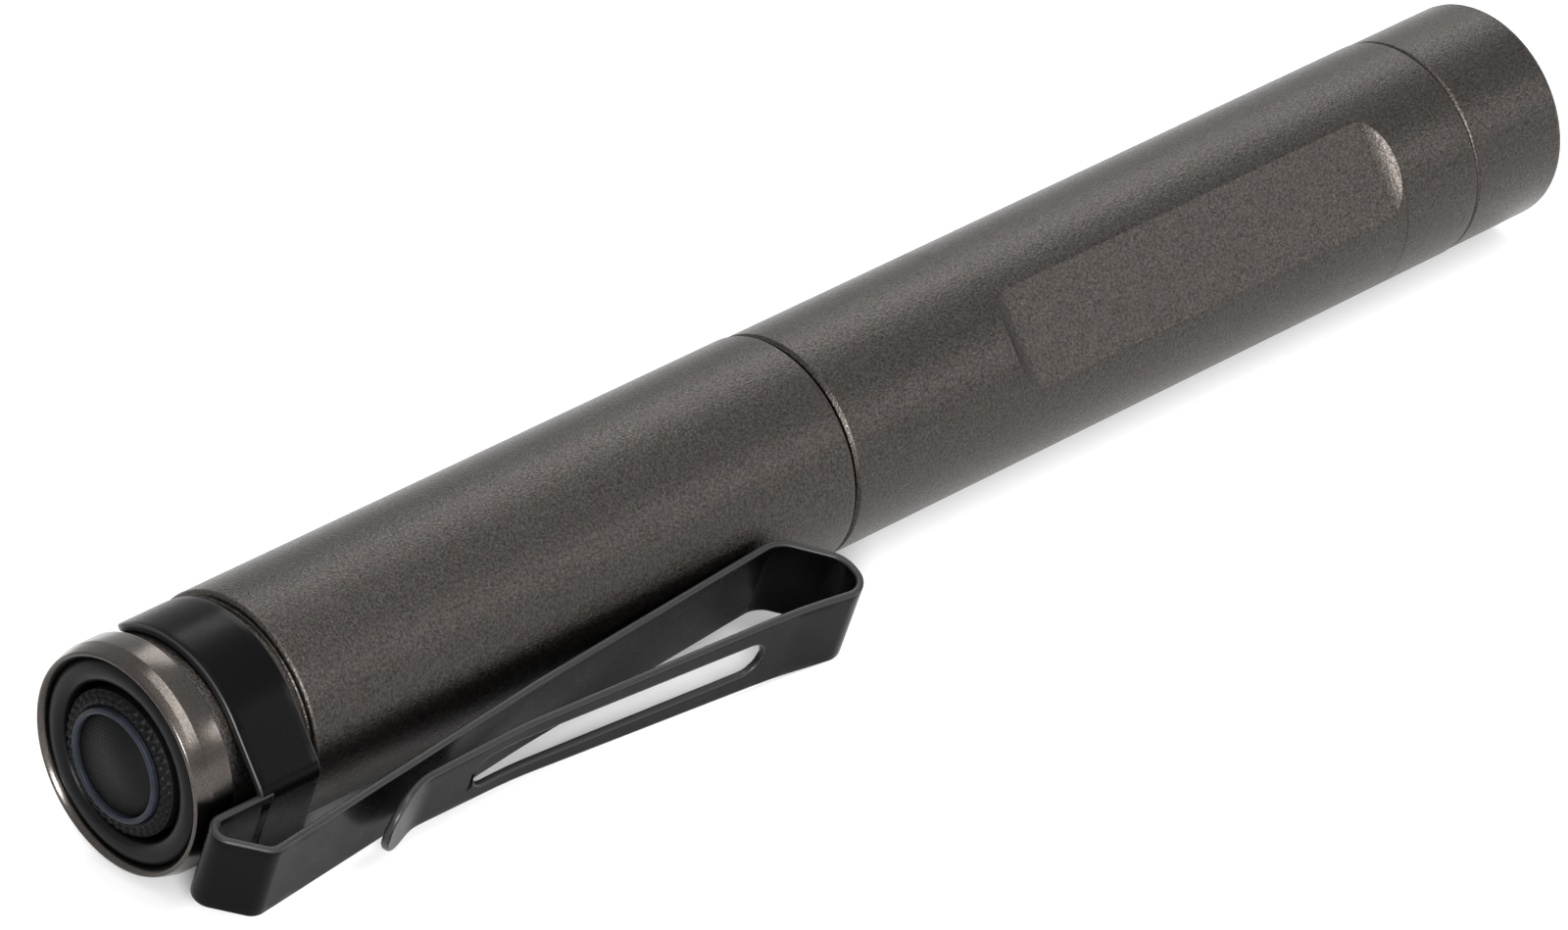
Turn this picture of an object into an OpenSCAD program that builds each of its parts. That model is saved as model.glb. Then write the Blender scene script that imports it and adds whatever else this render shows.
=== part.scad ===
// Penlight with a push button in the tail and a folded two-way pocket clip.
// The X axis is the barrel's axis and points to the head. The origin is on it, at the middle joint.
// The part lies as it was photographed: on the rear tube and the lower corner of the clip, +Z up.
// The two cells set the size: the bores, walls and lengths of the tubes follow them.

/* [Cells] */
// Radius of an AAA cell
cell_radius = 5.25; // [5:0.05:7]
// Length of an AAA cell with its terminal
cell_length = 44.5; // [40:0.1:52]
// Play between a cell and the bore round it
cell_play = 0.35; // [0.1:0.05:0.8]
// Where the two cells meet, in front of the middle joint
cell_seam = 4.5; // [2:0.1:8]

/* [Barrel] */
// Wall of the front barrel round the cells
barrel_wall = 1.9; // [1.6:0.05:3]
// How far the rear tube stands proud of the front barrel
tube_step = 0.1; // [0:0.05:0.5]
// Depth of the neck that the clip's collar goes round
neck_depth = 0.65; // [0.4:0.05:0.8]
// Length of the neck
neck_length = 6.4; // [5:0.1:10]
// Length of the bezel
bezel_length = 8.5; // [7.5:0.1:14]
// Length of the tail cap behind the neck
cap_length = 2.85; // [2.5:0.1:6]

/* [Flat] */
// Depth of the milled flat
flat_depth = 0.82; // [0.3:0.02:1.2]
// Distance of the flat from the middle joint
flat_rear = 14.2; // [8:0.1:30]
// Distance of the flat from the bezel
flat_margin = 6.8; // [2:0.1:20]
// Radius of the wheel cutter that left the flat's hollow ends
cutter_radius = 2.3; // [1:0.1:5]
// Angle of the flat's middle above the -Y direction
flat_angle = 31; // [-60:1:90]

/* [Threads] */
// Pitch of the middle joint's thread
mid_pitch = 1.0; // [0.5:0.05:1.5]
// Pitch of the bezel's and the tail cap's threads
end_pitch = 0.75; // [0.5:0.05:1.5]
// Height of a thread's ridge
ridge_height = 0.22; // [0.1:0.01:0.3]
// Radial clearance between a thread's ridge and the bore round it
thread_clearance = 0.05; // [0.02:0.01:0.1]

/* [Clip] */
// Half width of the clip's strip at the tail
tab_half = 2.9; // [2:0.1:5]
// Half width of the strip round the loop
loop_half = 2.95; // [1.5:0.05:5]
// Half width of the outer arm at its tip
tip_half = 2.2; // [1:0.05:4]
// Thickness of the clip's sheet
clip_sheet = 0.5; // [0.4:0.05:0.8]
// Angle of the clip below the -Y direction
clip_angle = 22; // [0:0.1:60]
// Half of the angle that the open collar covers
collar_half_angle = 152; // [100:1:170]
// Width of the slot in the outer arm
slot_width = 2.6; // [1:0.1:3.6]
// Distance of the slot's ends from the front and the rear end of the tube
slot_margins = [12.7, 16]; // [8:0.1:25]

/* [Button] */
// Travel of the button
button_travel = 1.2; // [0.5:0.1:1.2]
// Number of grooves round the button's edge
button_grooves = 40; // [12:1:60]
// Wall of the rubber ring round the button
rubber_wall = 1.45; // [0.8:0.1:2]
// Gap between the button and the rubber ring
button_gap = 0.4; // [0.2:0.05:0.8]

/* [Optics] */
// Thickness of the lens
lens_thickness = 1.2; // [0.8:0.1:1.5]
// Width of the bezel's rim in front of the lens
lens_rim = 0.6; // [0.3:0.1:1.5]

/* [Hidden] */
$fn = 96;
sheet_half = clip_sheet / 2;
overlap = 0.05;
edge_break = 0.3;
oring_half = 0.35;

// The tubes round the cells
cell_bore = cell_radius + cell_play;
barrel_radius = cell_bore + barrel_wall;
tube_radius = barrel_radius + tube_step;
neck_radius = tube_radius - neck_depth;
cells_front = cell_seam + cell_length;
cells_rear = cell_seam - cell_length;

// The middle joint: a groove, a chamfered shoulder and a threaded spigot on the rear tube
joint_depth = 0.9;
groove_width = 0.35;
chamfer = 0.45;
groove_depth = 0.6;
tube_front = -joint_depth;
shoulder_face = tube_front + groove_width;
chamfer_end = shoulder_face + chamfer;
groove_radius = barrel_radius - groove_depth;
spigot_wall = 0.75;
spigot_length = 8.5;
mid_ring_step = 2.0;
mid_thread_step = 3.3;
mid_thread_turns = 4;
spigot_radius = cell_bore + spigot_wall;
spigot_front = tube_front + spigot_length;
spigot_bore = spigot_radius + ridge_height + thread_clearance;
mid_ring_place = tube_front + mid_ring_step;
mid_thread_start = tube_front + mid_thread_step;

// The brass pill in the front barrel, with the driver behind its floor and the emitter's board in front
pill_gap = 1.2;
pill_step = 0.1;
pill_length = 8.0;
pill_wall = 0.5;
pill_rim = 0.75;
driver_sink = 0.2;
board_thickness = 1.0;
parts_space = 2.0;
pill_floor = 3.6;
led_board_thickness = 0.8;
wire_radius = 0.3;
wire_margin = 1.05;
solder_height = 0.3;
pill_radius = cell_bore + pill_step;
pill_rear = cells_front + pill_gap;
pill_front = pill_rear + pill_length;
driver_radius = pill_radius - pill_wall;
board_radius = pill_radius - pill_rim;
driver_rear = pill_rear + driver_sink;
driver_front = driver_rear + board_thickness;
pill_floor_rear = driver_front + parts_space;
pill_floor_front = pill_floor_rear + pill_floor;
led_board_front = pill_floor_front + led_board_thickness;
wire_place = board_radius - wire_margin;
led_gasket_height = 1.0;
led_gasket_gap = 0.1;
led_gasket_wall = 0.7;
emitter_gap = 0.05;
led_gasket_outer = wire_place - 2 * wire_radius - led_gasket_gap;
led_gasket_inner = led_gasket_outer - led_gasket_wall;

// The head: a spigot on the front barrel and the bezel round it
pill_nose = 1.5;
head_spigot_wall = 0.8;
head_ring_step = 0.9;
head_thread_step = 1.7;
head_thread_margin = 0.7;
bezel_inset = 0.05;
bezel_wall = 1.35;
rim_thickness = 1.2;
gasket_length = 0.6;
flange_thickness = 0.6;
flange_gap = 0.1;
throat_gap = 1.2;
head_joint = pill_front - pill_nose;
front_face = head_joint + bezel_length;
flat_front = head_joint - flat_margin;
head_spigot_radius = pill_radius + head_spigot_wall;
head_bore = head_spigot_radius + ridge_height + thread_clearance;
head_ring_place = head_joint + head_ring_step;
bezel_radius = barrel_radius - bezel_inset;
lens_radius = bezel_radius - bezel_wall;
opening_radius = lens_radius - lens_rim;
lens_lip = front_face - rim_thickness;
lens_front = lens_lip - gasket_length;
lens_rear = lens_front - lens_thickness;
flange_rear = lens_rear - flange_thickness;
head_spigot_front = flange_rear - flange_gap;
head_thread_start = head_joint + head_thread_step;
head_thread_turns = (head_spigot_front - head_thread_margin - head_thread_start) / end_pitch;

// The tail: a threaded cap that holds the switch, the rubber ring and the button
spring_space = 3.8;
switch_height = 4.0;
plunger_depth = 1.6;
plunger_radius = 1.6;
return_space = 4.8;
button_sink = 1.1;
board_front = cells_rear - spring_space;
board_rear = board_front - board_thickness;
switch_rear = board_rear - switch_height;
plunger_front = switch_rear + plunger_depth;
button_rear = switch_rear - return_space;
tail_joint = button_rear + button_sink;
tail_end = tail_joint - cap_length;
neck_start = tail_joint + neck_length;

cap_inset = 0.06;
cap_spigot_wall = 0.95;
cap_spigot_step = 0.3;
board_ledge = 0.2;
lip_wall = 0.89;
lip_round = 1.15;
lip_slope = 0.55;
lip_crest_share = 0.54;
recess_step = 0.2;
contact_length = 0.6;
bore_gap = 0.4;
tail_ring_step = 1.1;
tail_thread_step = 2.2;
tail_thread_turns = 4.5;
cap_radius = barrel_radius - cap_inset;
cap_spigot_radius = cell_bore + cap_spigot_step;
cap_spigot_front = board_front + contact_length;
tail_bore = cap_spigot_radius + ridge_height + thread_clearance;
tail_bore_front = cap_spigot_front + bore_gap;
cap_bore = cap_spigot_radius - cap_spigot_wall;
ring_bore = cap_bore + board_ledge;
recess_radius = cap_radius - lip_wall;
lip_crest = recess_radius + lip_crest_share * lip_wall;
recess_floor = tail_joint - recess_step;
tail_ring_place = tail_joint + tail_ring_step;
tail_thread_start = tail_joint + tail_thread_step;
switch_half = cap_bore / sqrt(2) - board_ledge / 2;
contact_wall = 1.0;
spanner_slot = 0.8;

ring_inset = 0.25;
ring_crown = 0.35;
face_inset = 0.1;
rib_stand = 0.25;
centre_inset = 0.05;
rib_margin = 1.0;
rib_width = 0.4;
ring_inner = recess_radius - rubber_wall;
ring_top = tail_end + ring_inset;
button_radius = ring_inner - button_gap;
button_face = tail_end + face_inset;
button_ring_top = tail_end - rib_stand;
button_centre = tail_end + centre_inset;
button_ring_outer = button_radius - rib_margin;
button_ring_inner = button_ring_outer - rib_width;

// The springs, each as [rear, front, radius, turns]
wire_coil = 0.3;
return_radius = 2.5;
contact_radius = 2.8;
button_coil = [button_rear, switch_rear, return_radius, 4];
tail_coil = [board_front, cells_rear, contact_radius, 3];

// Turns an outline of [radius, place] points round the X axis
module turned(outline) {
    rotate([0, 90, 0])
        rotate_extrude()
            polygon(outline);
}

// A solid or hollow cylinder along X from one place to another
module rod(from, to, radius) {
    translate([from, 0, 0])
        rotate([0, 90, 0])
            cylinder(r = radius, h = to - from);
}

module tube(from, to, outer, inner) {
    difference() {
        rod(from, to, outer);
        rod(from - overlap, to + overlap, inner);
    }
}

// A rubber ring with a round section, centred on one place
module round_ring(place, middle_radius, half) {
    translate([place, 0, 0])
        rotate([0, 90, 0])
            rotate_extrude()
                translate([middle_radius, 0])
                    circle(r = half, $fn = 24);
}

// Triangles of a closed strip swept through rings of points
function swept_faces(rings, sides) = concat(
    [for (i = [0 : rings - 2], k = [0 : sides - 1])
        [i * sides + k, i * sides + (k + 1) % sides, (i + 1) * sides + (k + 1) % sides]],
    [for (i = [0 : rings - 2], k = [0 : sides - 1])
        [i * sides + k, (i + 1) * sides + (k + 1) % sides, (i + 1) * sides + k]],
    [[for (k = [sides - 1 : -1 : 0]) k]],
    [[for (k = [0 : sides - 1]) (rings - 1) * sides + k]]);

// One helical ridge along X that fades in and out over a quarter of a turn
thread_steps = 32;
fade_turns = 0.25;
function fade(turn, turns) = max(0.05, min(1, turn / fade_turns, (turns - turn) / fade_turns));
function ridge_section(turn, turns, radius, pitch) =
    let (
        angle = 360 * turn,
        middle = pitch * turn,
        crest = radius + ridge_height * fade(turn, turns),
        root = radius - overlap,
        wide = pitch * 0.36,
        narrow = pitch * 0.12,
        shape = [[root, -wide], [crest, -narrow], [crest, narrow], [root, wide]]
    )
    [for (p = shape) [middle + p[1], p[0] * cos(angle), p[0] * sin(angle)]];

module thread_ridge(start, turns, radius, pitch) {
    count = floor(turns * thread_steps);
    points = [for (i = [0 : count], p = ridge_section(i / thread_steps, turns, radius, pitch)) p];
    translate([start, 0, 0])
        polyhedron(points = points, faces = swept_faces(count + 1, 4));
}

// A helical spring along X as one unbroken tube, from [rear, front, radius, turns]
curl_steps = 8;
tube_sides = 6;
function coil_pitch(coil) = (coil[1] - coil[0] - 2 * wire_coil) / coil[3];
function coil_line(coil) =
    [for (i = [0 : coil[3] * curl_steps])
        let (turn = i / curl_steps)
        [coil[0] + wire_coil + turn * coil_pitch(coil), coil[2] * cos(360 * turn), coil[2] * sin(360 * turn)]];
function least_gap(line) =
    min([for (i = [0 : len(line) - 1 - curl_steps / 2], j = [i + curl_steps / 2 : len(line) - 1])
        norm(line[i] - line[j])]) - 2 * wire_coil;
module coil_spring(coil) {
    line = coil_line(coil);
    points = [for (p = line, k = [0 : tube_sides - 1])
        let (
            around = 360 * k / tube_sides,
            reach = 1 + wire_coil * cos(around) / coil[2]
        )
        [p[0] + wire_coil * sin(around), p[1] * reach, p[2] * reach]];
    polyhedron(points = points, faces = swept_faces(len(line), tube_sides));
}
echo(str("Least gap in the button spring, mm: ", least_gap(coil_line(button_coil))));
echo(str("Least gap in the tail spring, mm: ", least_gap(coil_line(tail_coil))));

// A bent strip's outline from its middle line: straight runs joined by arcs
bend_step = 6;
function unit(v) = v / norm(v);
function left_of(v) = [-v[1], v[0]];
function along(a, b, share) = a + (b - a) * share;
function bend(a, b, c, radius, shift) =
    let (
        back = unit(a - b),
        on = unit(c - b),
        half = acos(back * on) / 2,
        side = sign(cross(b - a, c - b)),
        middle = b + unit(back + on) * radius / sin(half),
        first = b + back * radius / tan(half) - middle,
        start = atan2(first[1], first[0]),
        sweep = side * (180 - 2 * half),
        steps = ceil(abs(sweep) / bend_step)
    )
    [for (i = [0 : steps])
        let (angle = start + sweep * i / steps)
        middle + (radius - side * shift) * [cos(angle), sin(angle)]];
function strip_side(path, radii, shift) =
    let (last = len(path) - 1)
    [path[0] + shift * left_of(unit(path[1] - path[0])),
        for (i = [1 : last - 1]) each bend(path[i - 1], path[i], path[i + 1], radii[i], shift),
        path[last] + shift * left_of(unit(path[last] - path[last - 1]))];
function reversed(list) = [for (i = [len(list) - 1 : -1 : 0]) list[i]];
function strip(path, radii) = concat(
    strip_side(path, radii, sheet_half), reversed(strip_side(path, radii, -sheet_half)));

// Places a shape drawn in [place, distance from the axis] at an angle below the -Y direction
module at_angle(angle) {
    rotate([angle, 0, 0])
        rotate([180, 0, 0])
            children();
}

// The front barrel: joint at the rear, milled flat at one side, spigot for the bezel
module flat_cutter() {
    reach = barrel_radius - flat_depth;
    hollow = sqrt(cutter_radius * cutter_radius - (cutter_radius - flat_depth) * (cutter_radius - flat_depth));
    bottom_rear = flat_rear + hollow;
    bottom_front = flat_front - hollow;
    at_angle(-flat_angle)
        linear_extrude(height = 2 * barrel_radius, center = true) {
            translate([bottom_rear, reach])
                square([bottom_front - bottom_rear, barrel_radius]);
            for (place = [bottom_rear, bottom_front])
                translate([place, reach + cutter_radius])
                    circle(r = cutter_radius);
        }
}

module front_barrel() {
    color("dimgray")
        difference() {
            turned([
                [spigot_bore, tube_front],
                [groove_radius, tube_front],
                [groove_radius, shoulder_face],
                [barrel_radius - chamfer_end + shoulder_face, shoulder_face],
                [barrel_radius, chamfer_end],
                [barrel_radius, head_joint - edge_break],
                [barrel_radius - edge_break, head_joint],
                [head_spigot_radius, head_joint],
                [head_spigot_radius, head_ring_place - oring_half - overlap],
                [head_spigot_radius - 2 * oring_half + ridge_height, head_ring_place - oring_half - overlap],
                [head_spigot_radius - 2 * oring_half + ridge_height, head_ring_place + oring_half + overlap],
                [head_spigot_radius, head_ring_place + oring_half + overlap],
                [head_spigot_radius, head_spigot_front],
                [pill_radius, head_spigot_front],
                [pill_radius, pill_rear],
                [cell_bore, pill_rear],
                [cell_bore, spigot_front + edge_break],
                [spigot_bore, spigot_front + edge_break]]);
            flat_cutter();
        }
    color("dimgray")
        thread_ridge(head_thread_start, head_thread_turns, head_spigot_radius, end_pitch);
}

// The rear tube: neck at the tail, threaded spigot at the front
module rear_barrel() {
    ring_floor = spigot_bore - 2 * oring_half - overlap;
    color("dimgray") {
        turned([
            [tail_bore, tail_joint],
            [neck_radius - edge_break, tail_joint],
            [neck_radius, tail_joint + edge_break],
            [neck_radius, neck_start],
            [tube_radius - edge_break, neck_start],
            [tube_radius, neck_start + edge_break],
            [tube_radius, tube_front - edge_break],
            [tube_radius - edge_break, tube_front],
            [spigot_radius, tube_front],
            [spigot_radius, mid_ring_place - oring_half - overlap],
            [ring_floor, mid_ring_place - oring_half - overlap],
            [ring_floor, mid_ring_place + oring_half + overlap],
            [spigot_radius, mid_ring_place + oring_half + overlap],
            [spigot_radius, spigot_front],
            [cell_bore, spigot_front],
            [cell_bore, tail_bore_front],
            [tail_bore, tail_bore_front]]);
        thread_ridge(mid_thread_start, mid_thread_turns, spigot_radius, mid_pitch);
    }
}

module mid_oring() {
    color("black")
        round_ring(mid_ring_place, spigot_bore - oring_half, oring_half - overlap / 2);
}

// The head
module bezel() {
    color("dimgray")
        turned([
            [head_bore, head_joint],
            [bezel_radius - edge_break, head_joint],
            [bezel_radius, head_joint + edge_break],
            [bezel_radius, front_face - 2 * edge_break],
            [bezel_radius - 2 * edge_break, front_face],
            [opening_radius + 2 * edge_break, front_face],
            [opening_radius, front_face - 2 * edge_break],
            [opening_radius, lens_lip],
            [lens_radius + thread_clearance, lens_lip],
            [lens_radius + thread_clearance, flange_rear - overlap],
            [head_bore, flange_rear - overlap]]);
}

module bezel_oring() {
    color("black")
        round_ring(head_ring_place, head_bore - oring_half, oring_half - overlap / 2);
}

module lens() {
    color("lightblue", 0.4)
        rod(lens_rear, lens_front, lens_radius);
}

module lens_gasket() {
    color("black")
        tube(lens_front, lens_lip, lens_radius, opening_radius);
}

module reflector() {
    throat = 1.9;
    wall = 0.45;
    throat_place = led_board_front + throat_gap;
    mouth = opening_radius - wall;
    bowl_steps = 16;
    flange_steps = 3;
    depth = lens_rear - throat_place;
    function bowl(share) = throat + (mouth - throat) * sqrt(share);
    color("silver")
        turned(concat(
            [for (i = [0 : bowl_steps])
                [bowl(i / bowl_steps), throat_place + depth * i / bowl_steps]],
            [[lens_radius, lens_rear],
                [lens_radius, flange_rear],
                [opening_radius, flange_rear]],
            [for (i = [bowl_steps - flange_steps : -1 : 1])
                [bowl(i / bowl_steps) + wall, throat_place + depth * i / bowl_steps]],
            [[throat + wall, throat_place]]));
}

module led_gasket() {
    color("white")
        tube(led_board_front, led_board_front + led_gasket_height, led_gasket_outer, led_gasket_inner);
}

module led_emitter() {
    base = (led_gasket_inner - emitter_gap) * sqrt(2);
    base_height = 0.7;
    dome = 1.25;
    color("gold") {
        translate([led_board_front, -base / 2, -base / 2])
            cube([base_height, base, base]);
        translate([led_board_front + base_height, 0, 0])
            intersection() {
                sphere(r = dome, $fn = 48);
                rod(-overlap, 2 * dome, 2 * dome);
            }
    }
}

module led_board() {
    color("white")
        difference() {
            rod(pill_floor_front, led_board_front, board_radius);
            for (side = [-1, 1])
                translate([0, side * wire_place, 0])
                    rod(pill_floor_front - overlap, led_board_front + overlap, wire_radius + thread_clearance);
        }
}

module led_wires() {
    for (side = [-1, 1])
        color(side > 0 ? "red" : "black")
            translate([0, side * wire_place, 0]) {
                rod(driver_front, led_board_front + solder_height, wire_radius);
                rod(led_board_front, led_board_front + solder_height, 2 * wire_radius);
            }
}

module led_pill() {
    color("goldenrod")
        difference() {
            rod(pill_rear, pill_front, pill_radius);
            rod(pill_rear - overlap, pill_floor_rear, driver_radius);
            rod(pill_floor_front, pill_front + overlap, board_radius);
            for (side = [-1, 1])
                translate([0, side * wire_place, 0])
                    rod(pill_rear, pill_front, 2 * wire_radius);
        }
}

module driver_board() {
    color("darkgreen")
        rod(driver_rear, driver_front, driver_radius);
}

// Each part on the driver board: [height, width, share of the board's radius to its middle in y and in z]
driver_layout = [[1.4, 2.6, 0, -0.37], [0.8, 1.8, 0, 0.4], [0.6, 1.0, -0.46, -0.04]];
module driver_parts() {
    color("black")
        for (part = driver_layout)
            translate([driver_front, part[2] * driver_radius - part[1] / 2, part[3] * driver_radius - part[1] / 2])
                cube([part[0], part[1], part[1]]);
}

module driver_contact() {
    pad_radius = 1.6;
    color("goldenrod")
        rod(cells_front, driver_rear, pad_radius);
}

// The two cells, each with its terminal
terminal = 0.9;
module cell(front) {
    color("steelblue")
        turned([
            [0, front - cell_length],
            [cell_radius - edge_break, front - cell_length],
            [cell_radius, front - cell_length + edge_break],
            [cell_radius, front - terminal - edge_break],
            [cell_radius - edge_break, front - terminal],
            [0, front - terminal]]);
}

module cell_terminal(front) {
    nub = 1.9;
    color("silver")
        turned([
            [0, front - terminal],
            [nub, front - terminal],
            [nub, front - edge_break],
            [nub - edge_break, front],
            [0, front]]);
}

// The tail cap and what it holds. Its lip is well rounded outside and slopes to the rubber inside
function lip_point(angle) =
    [lip_crest + (cap_radius - lip_crest) * cos(angle), tail_end + lip_round * (1 - sin(angle))];

module tail_cap() {
    ring_floor = tail_bore - 2 * oring_half;
    lip_steps = 10;
    color("rosybrown") {
        turned(concat(
            [[cap_bore, recess_floor],
                [recess_radius, recess_floor],
                [recess_radius, tail_end + lip_slope]],
            [for (i = [lip_steps : -1 : 0]) lip_point(90 * i / lip_steps)],
            [[cap_radius, tail_joint - edge_break],
                [cap_radius - edge_break, tail_joint],
                [cap_spigot_radius, tail_joint],
                [cap_spigot_radius, tail_ring_place - oring_half],
                [ring_floor, tail_ring_place - oring_half],
                [ring_floor, tail_ring_place + oring_half],
                [cap_spigot_radius, tail_ring_place + oring_half],
                [cap_spigot_radius, cap_spigot_front],
                [ring_bore, cap_spigot_front],
                [ring_bore, board_rear],
                [cap_bore, board_rear]]));
        thread_ridge(tail_thread_start, tail_thread_turns, cap_spigot_radius, end_pitch);
    }
}

module tail_oring() {
    color("black")
        round_ring(tail_ring_place, tail_bore - oring_half, oring_half - overlap / 2);
}

module rubber_ring() {
    half = (recess_radius - ring_inner) / 2;
    middle = (recess_radius + ring_inner) / 2;
    ring_steps = 12;
    color("black")
        turned(concat(
            [[ring_inner, recess_floor],
                [recess_radius, recess_floor]],
            [for (i = [0 : ring_steps])
                let (angle = 180 * i / ring_steps)
                [middle + half * cos(angle), ring_top + ring_crown * (1 - sin(angle))]]));
}

module button() {
    shoulder = 0.35;
    groove_half = 0.14;
    color("black")
        difference() {
            turned([
                [0, button_rear],
                [button_radius, button_rear],
                [button_radius, button_face + shoulder],
                [button_radius - shoulder, button_face],
                [button_ring_outer + edge_break / 2, button_face],
                [button_ring_outer, button_ring_top + edge_break / 2],
                [button_ring_outer - edge_break / 2, button_ring_top],
                [button_ring_inner, button_ring_top],
                [button_ring_inner, button_centre],
                [0, button_centre]]);
            for (i = [0 : button_grooves - 1])
                rotate([360 * i / button_grooves, 0, 0])
                    translate([0, button_radius, 0])
                        rod(button_face - overlap, button_rear - overlap, groove_half);
        }
}

module switch_plunger() {
    color("white")
        rod(button_rear, plunger_front, plunger_radius);
}

module button_spring() {
    color("silver")
        coil_spring(button_coil);
}

module switch_housing() {
    color("black")
        difference() {
            translate([switch_rear, -switch_half, -switch_half])
                cube([board_rear - switch_rear, 2 * switch_half, 2 * switch_half]);
            rod(switch_rear - overlap, plunger_front + button_travel + edge_break, plunger_radius + 2 * thread_clearance);
        }
}

module switch_board() {
    color("darkgreen")
        rod(board_rear, board_front, ring_bore - overlap);
}

module switch_ring() {
    color("goldenrod")
        difference() {
            tube(board_front, cap_spigot_front, ring_bore, ring_bore - contact_wall);
            for (side = [-1, 1])
                translate([(board_front + cap_spigot_front) / 2, side * ring_bore, 0])
                    cube([contact_wall, spanner_slot, spanner_slot], center = true);
        }
}

module tail_spring() {
    color("gold")
        coil_spring(tail_coil);
}

// The clip: an open collar round the neck and one strip folded into two arms
rear_play = 1.0;
front_play = 0.65;
stem_lap = 1.0;
bridge_round = 1.2;
tail_round = 1.0;
top_round = 1.0;
sag_round = 60;
kink_round = 2.2;
ramp_round = 2.0;
loop_round = 1.5;
arm_round = 40;
flare_round = 4;
kink_run = 3.0;

// Corners of the strip's middle line: [along the axis, out from the tube], from the tube's two ends
tail_bend_offset = [-4.5, 0.45];
tab_top_offset = [-1.0, 4.1];
sag_offset = [22.5, 1.75];
kink_offset = [-7.7, 0.2];
ramp_offset = [-4.8, 3.45];
loop_offset = [-5.25, 6.15];
knee_offset = [-10.9, 5.3];
outer_bend_offset = [19.7, 3.75];
flare_offset = [11.4, 3.8];
tip_offset = [7.8, 5.15];
tube_rear_corner = [tail_joint, tube_radius];
tube_front_corner = [tube_front, tube_radius];
tail_bend = tube_rear_corner + tail_bend_offset;
tab_top = tube_rear_corner + tab_top_offset;
arm_sag = tube_rear_corner + sag_offset;
kink = tube_front_corner + kink_offset;
ramp_top = tube_front_corner + ramp_offset;
loop_front = tube_front_corner + loop_offset;
outer_knee = tube_front_corner + knee_offset;
outer_bend = tube_rear_corner + outer_bend_offset;
flare_bend = tube_rear_corner + flare_offset;
tip_end = tube_rear_corner + tip_offset;
slot_head = tube_front - slot_margins[0];
slot_tail = tail_joint + slot_margins[1];

collar_rear = tail_joint + rear_play;
collar_front = neck_start - front_play;
collar_middle = neck_radius + thread_clearance + sheet_half;
bridge_height = tail_bend[1];
stem_start = [collar_rear + stem_lap, bridge_height];
inner_start_share = 0.115;
outer_start_share = 0.56;
kink_share = 0.4;
inner_start = along(tab_top, arm_sag, inner_start_share);
outer_start = along(loop_front, outer_knee, outer_start_share);
kink_half = along(tab_half, loop_half, kink_share);

// The collar seen along X: round the neck, then straight up to a flat bridge under the strip
function on_circle(angle, radius) = radius * [sin(angle), cos(angle)];
function mirrored(p) = [-p[0], p[1]];
module collar_outline() {
    corner = [tab_half, bridge_height];
    leave = atan2(corner[0], corner[1]) + acos(collar_middle / norm(corner));
    half_turn = (collar_half_angle - leave) / 2;
    elbow = on_circle(leave + half_turn, collar_middle / cos(half_turn));
    mouth = on_circle(collar_half_angle, collar_middle);
    polygon(strip(
        [mouth, elbow, corner, mirrored(corner), mirrored(elbow), mirrored(mouth)],
        [0, collar_middle, bridge_round, bridge_round, collar_middle, 0]));
}

module clip_collar() {
    color("black")
        at_angle(clip_angle) {
            translate([collar_rear, 0, 0])
                rotate([0, 90, 0])
                    linear_extrude(height = collar_front - collar_rear)
                        collar_outline();
            linear_extrude(height = 2 * tab_half, center = true)
                polygon(strip([stem_start, tail_bend, tab_top, inner_start], [0, tail_round, top_round, 0]));
        }
}

// A strip's plan, seen square on to the clip: [place, half width] pairs
module plan(stations) {
    rotate([-90, 0, 0])
        linear_extrude(height = 3 * barrel_radius)
            polygon(concat(stations, reversed([for (s = stations) [s[0], -s[1]]])));
}

module clip_inner_arm() {
    color("black")
        at_angle(clip_angle)
            intersection() {
                linear_extrude(height = 3 * tab_half, center = true)
                    polygon(strip([inner_start, arm_sag, kink, ramp_top, loop_front, outer_start],
                        [0, sag_round, kink_round, ramp_round, loop_round, 0]));
                plan([
                    [inner_start[0] - overlap, tab_half],
                    [inner_start[0], tab_half],
                    [kink[0] - kink_run, kink_half],
                    [outer_start[0], loop_half],
                    [loop_front[0] + clip_sheet, loop_half]]);
            }
}

module clip_outer_arm() {
    color("black")
        at_angle(clip_angle)
            difference() {
                intersection() {
                    linear_extrude(height = 3 * tab_half, center = true)
                        polygon(strip([outer_start, outer_knee, outer_bend, flare_bend, tip_end],
                            [0, arm_round, arm_round, flare_round, 0]));
                    plan([
                        [tip_end[0] - clip_sheet, tip_half],
                        [flare_bend[0], tip_half],
                        [outer_start[0], loop_half],
                        [outer_start[0] + clip_sheet, loop_half]]);
                }
                rotate([-90, 0, 0])
                    linear_extrude(height = 3 * barrel_radius)
                        arm_cutouts();
            }
}

// The slot and the space round the tip's rounded end, seen square on to the outer arm
module arm_cutouts() {
    slot_half = slot_width / 2;
    for (place = [slot_head - slot_half, slot_tail + slot_half])
        translate([place, 0])
            circle(r = slot_half);
    translate([slot_tail + slot_half, -slot_half])
        square([slot_head - slot_tail - slot_width, slot_width]);
    difference() {
        translate([tip_end[0] - tip_half, -2 * tip_half])
            square([2 * tip_half, 4 * tip_half]);
        translate([tip_end[0] + tip_half, 0])
            circle(r = tip_half);
        translate([tip_end[0] + tip_half, -2 * tip_half])
            square([tip_half, 4 * tip_half]);
    }
}

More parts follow.
